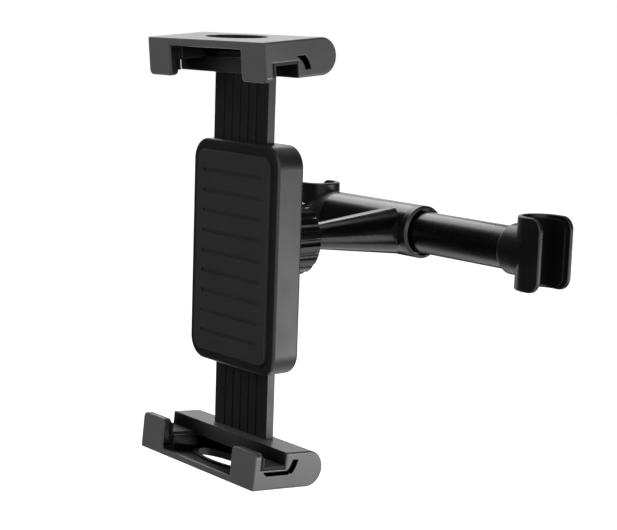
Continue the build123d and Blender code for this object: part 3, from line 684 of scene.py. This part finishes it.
class MOUNT_OT_jaws(MountOperator, bpy.types.Operator):
    """Finishes the two jaws, their pads and their screws"""

    bl_idname = "mount.jaws"
    bl_label = "Jaws"

    def execute(self, context):
        self.dress(context, ["upper_jaw", "lower_jaw"], "Jaw grey")
        self.dress(context, ["upper_jaw_pads", "lower_jaw_pads"], "Soft pad")
        add_screws(context, "upper_jaw_screws", "upper")
        add_screws(context, "lower_jaw_screws", "lower")
        return {"FINISHED"}


# Stage: camera, surroundings, floor, dark screens and lamps

# Camera: its sensor's width in millimetres, and the nearest and furthest distance that it sees
SENSOR_WIDTH = 36.0
CLIP_START = 0.01
CLIP_END = 50.0

# Floor: half its width, its clouds and their shade, its roughness, and where its glow starts and is full
FLOOR_HALF = 6.0
FLOOR_CLOUDS = 3.0
FLOOR_DETAIL = 2.0
FLOOR_SHADE = 0.98
FLOOR_ROUGHNESS = 0.9
GLOW_START = 0.3
GLOW_FULL = 1.3

# Screens: the cloth's folds, its darkest and palest tone, steps round, and a mat's share of the floor's drop
CLOTH_FOLDS = 4.0
CLOTH_DARK = 0.005
CLOTH_PALE = 0.015
SCREEN_STEPS = 24
MAT_DEPTH = 0.9

# Lamps: name, place from the middle of the tee, width and height, power setting, seen in reflections
LAMPS = (
    ("Key lamp", (-0.8, 0.46, 0.84), (1.1, 0.65), "key_power", True),
    ("Side lamp", (0.65, 0.45, -0.17), (0.4, 0.2), "side_power", True),
    ("Back lamp", (-0.1, 1.1, 0.45), (0.7, 0.7), "back_power", True),
    ("Fill lamp", (-0.75, -0.85, 0.35), (0.7, 0.7), "fill_power", False),
    ("Front lamp", (0.75, -0.85, 0.35), (0.7, 0.7), "front_power", True),
)


def tee_middle():
    """Middle of the tee, on the bar's axis behind the ball."""
    low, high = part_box("ball")
    return Vector(((low.x + high.x) / 2, 0.0, 0.0))


def add_camera(settings):
    """The camera at the photograph's viewing angle."""
    yaw, pitch, roll = settings.yaw, settings.pitch, settings.roll
    level_reach = math.cos(pitch)
    forward = Vector((-math.sin(yaw) * level_reach, math.cos(yaw) * level_reach, -math.sin(pitch)))
    level = Vector((math.cos(yaw), math.sin(yaw), 0.0))
    down = forward.cross(level)
    right = math.cos(roll) * level + math.sin(roll) * down
    up = math.sin(roll) * level - math.cos(roll) * down
    data = bpy.data.cameras.new("Camera")
    data.lens = settings.lens
    data.sensor_width = SENSOR_WIDTH
    data.clip_start = CLIP_START
    data.clip_end = CLIP_END
    camera = bpy.data.objects.new("Camera", data)
    turn = Matrix((right, up, -forward)).transposed().to_4x4()
    camera.matrix_world = Matrix.Translation(tee_middle() + Vector(settings.eye)) @ turn
    bpy.context.scene.collection.objects.link(camera)
    bpy.context.scene.camera = camera


def add_lamp(name, place, size, power, mirrored):
    """A soft lamp that faces the middle of the mount, and may be kept out of reflections."""
    data = bpy.data.lights.new(name, "AREA")
    data.shape = "RECTANGLE"
    data.size, data.size_y = size
    data.energy = power
    lamp = bpy.data.objects.new(name, data)
    aim = tee_middle()
    lamp.location = aim + Vector(place)
    lamp.rotation_euler = (aim - lamp.location).to_track_quat("-Z", "Y").to_euler()
    lamp.visible_camera = False
    lamp.visible_glossy = mirrored
    bpy.context.scene.collection.objects.link(lamp)


def seen_directly(tree):
    """One for rays that show the background: from the camera, off gloss or through glass."""
    path = node(tree, "ShaderNodeLightPath").outputs
    gloss = math_node(tree, "MAXIMUM", path["Is Camera Ray"], path["Is Glossy Ray"])
    return math_node(tree, "MAXIMUM", gloss, path["Is Transmission Ray"])


def add_world(settings):
    """White surroundings that light the mount at a plain level."""
    world = bpy.data.worlds.new("Studio")
    world.use_nodes = True
    tree = world.node_tree
    shader = tree.nodes["Background"]
    shader.inputs["Color"].default_value = WHITE
    sockets = {"Value": seen_directly(tree), "To Min": settings.ambient, "To Max": 1.0}
    level = node(tree, "ShaderNodeMapRange", sockets)
    tree.links.new(level.outputs["Result"], shader.inputs["Strength"])
    bpy.context.scene.world = world


def floor_material(settings):
    """Pale floor that is lifted to white, more so further away, and isn't seen from below."""
    material, tree, shader = new_material("Floor")
    tint = node(tree, "ShaderNodeMixRGB", {"Fac": surface_noise(tree, FLOOR_CLOUDS, FLOOR_DETAIL)})
    tint.inputs["Color1"].default_value = (*settings.floor_colour, 1.0)
    tint.inputs["Color2"].default_value = (*[FLOOR_SHADE * c for c in settings.floor_colour], 1.0)
    tree.links.new(tint.outputs["Color"], shader.inputs["Base Color"])
    shader.inputs["Roughness"].default_value = FLOOR_ROUGHNESS
    shader.inputs["Emission Color"].default_value = WHITE
    place = node(tree, "ShaderNodeTexCoord").outputs["Object"]
    sockets = {
        "Value": node(tree, "ShaderNodeVectorMath", {0: place}, operation="LENGTH").outputs["Value"],
        "From Min": GLOW_START,
        "From Max": GLOW_FULL,
        "To Min": settings.floor_glow,
        "To Max": 1.0,
    }
    glow = node(tree, "ShaderNodeMapRange", sockets)
    lift = math_node(tree, "MULTIPLY", seen_directly(tree), glow.outputs["Result"])
    tree.links.new(lift, shader.inputs["Emission Strength"])
    below = node(tree, "ShaderNodeNewGeometry").outputs["Backfacing"]
    tree.links.new(math_node(tree, "SUBTRACT", 1.0, below), shader.inputs["Alpha"])
    return material


def add_floor(settings):
    """A pale floor below the mount, which keeps its shadow."""
    height = CAD_BOX[0].z - settings.floor_drop
    corners = [
        (-FLOOR_HALF, -FLOOR_HALF, height),
        (FLOOR_HALF, -FLOOR_HALF, height),
        (FLOOR_HALF, FLOOR_HALF, height),
        (-FLOOR_HALF, FLOOR_HALF, height),
    ]
    mesh = bpy.data.meshes.new("floor")
    mesh.from_pydata(corners, [], [(0, 1, 2, 3)])
    mesh.materials.append(floor_material(settings))
    floor = bpy.data.objects.new("floor", mesh)
    bpy.context.scene.collection.objects.link(floor)


def dark_cloth():
    """Material of the dark screens."""
    material, tree, shader = new_material("Dark cloth")
    folds = node(tree, "ShaderNodeTexNoise", {"Scale": CLOTH_FOLDS})
    sockets = {"Value": folds.outputs["Fac"], "To Min": CLOTH_DARK, "To Max": CLOTH_PALE}
    tint = node(tree, "ShaderNodeMapRange", sockets)
    tree.links.new(tint.outputs["Result"], shader.inputs["Base Color"])
    shader.inputs["Roughness"].default_value = 1.0
    shader.inputs["Specular IOR Level"].default_value = 0.0
    return material


def add_screen(name, material, start, end, profile):
    """A dark screen round the mount, turned from (radius, height) points, seen only in reflections."""
    middle = tee_middle()
    corners = []
    for i in range(SCREEN_STEPS + 1):
        turn = math.radians(start + (end - start) * i / SCREEN_STEPS)
        for radius, height in profile:
            x = middle.x + radius * math.cos(turn)
            y = middle.y + radius * math.sin(turn)
            corners.append((x, y, height))
    row = len(profile)
    faces = [
        (i * row + j, (i + 1) * row + j, (i + 1) * row + j + 1, i * row + j + 1)
        for i in range(SCREEN_STEPS)
        for j in range(row - 1)
    ]
    mesh = bpy.data.meshes.new(name)
    mesh.from_pydata(corners, [], faces)
    mesh.materials.append(material)
    screen = bpy.data.objects.new(name, mesh)
    screen.visible_camera = False
    screen.visible_diffuse = False
    screen.visible_shadow = False
    screen.visible_transmission = False
    bpy.context.scene.collection.objects.link(screen)


def add_screens(settings):
    """Dark screens that give the glossy pieces their black bands, as round a product in a studio."""
    cloth = dark_cloth()
    ground = CAD_BOX[0].z - MAT_DEPTH * settings.floor_drop
    # Name, first and last bearing in degrees from +X towards +Y, and the profile's points in metres
    screens = (
        ("front_screen", 189.0, 285.0, [(0.7, ground), (0.7, 0.8)]),
        ("front_mat", 200.0, 285.0, [(0.03, ground), (0.7, ground)]),
        ("back_screen", 10.0, 120.0, [(0.35, -0.13), (0.35, 0.6)]),
        ("high_screen", 116.0, 136.0, [(0.35, 0.17), (0.35, 0.6)]),
        ("left_screen", 122.0, 164.0, [(0.36, ground), (0.6, ground), (0.6, -0.05)]),
        ("low_screen", 35.0, 110.0, [(0.25, ground), (0.25, -0.12)]),
    )
    for name, start, end, profile in screens:
        add_screen(name, cloth, start, end, profile)


class MOUNT_OT_stage(bpy.types.Operator):
    """Sets up the camera, floor, lamps and surroundings"""

    bl_idname = "mount.stage"
    bl_label = "Stage"

    def execute(self, context):
        settings = context.scene.mount_stage
        add_camera(settings)
        add_world(settings)
        add_floor(settings)
        add_screens(settings)
        for name, place, size, power_setting, mirrored in LAMPS:
            add_lamp(name, place, size, getattr(settings, power_setting), mirrored)
        context.scene.view_settings.view_transform = "Standard"
        return {"FINISHED"}


class MOUNT_PT_panel(bpy.types.Panel):
    """Lists the mount's settings and pieces."""

    bl_idname = "MOUNT_PT_panel"
    bl_label = "Tablet mount"
    bl_space_type = "VIEW_3D"
    bl_region_type = "UI"
    bl_category = "Tablet Mount"

    def draw(self, context):
        scene = context.scene
        for group in (scene.mount_finish, scene.mount_fasteners, scene.mount_stage):
            box = self.layout.box()
            for name in group.__annotations__:
                box.prop(group, name)
        for operator in OPERATORS:
            self.layout.operator(operator.bl_idname)


OPERATORS = (
    MOUNT_OT_bar,
    MOUNT_OT_hooks,
    MOUNT_OT_ball_joint,
    MOUNT_OT_housing,
    MOUNT_OT_slides,
    MOUNT_OT_jaws,
    MOUNT_OT_stage,
)
CLASSES = (MountFinish, MountFasteners, MountStage, *OPERATORS, MOUNT_PT_panel)


def register():
    """Adds the classes and the scene's settings."""
    for each in CLASSES:
        bpy.utils.register_class(each)
    bpy.types.Scene.mount_finish = PointerProperty(type=MountFinish)
    bpy.types.Scene.mount_fasteners = PointerProperty(type=MountFasteners)
    bpy.types.Scene.mount_stage = PointerProperty(type=MountStage)


def unregister():
    """Takes them away again."""
    del bpy.types.Scene.mount_stage
    del bpy.types.Scene.mount_fasteners
    del bpy.types.Scene.mount_finish
    for each in reversed(CLASSES):
        bpy.utils.unregister_class(each)


def main():
    """Builds the whole scene."""
    register()
    bpy.ops.mount.bar()
    bpy.ops.mount.hooks()
    bpy.ops.mount.ball_joint()
    bpy.ops.mount.housing()
    bpy.ops.mount.slides()
    bpy.ops.mount.jaws()
    bpy.ops.mount.stage()


if __name__ == "__main__":
    main()
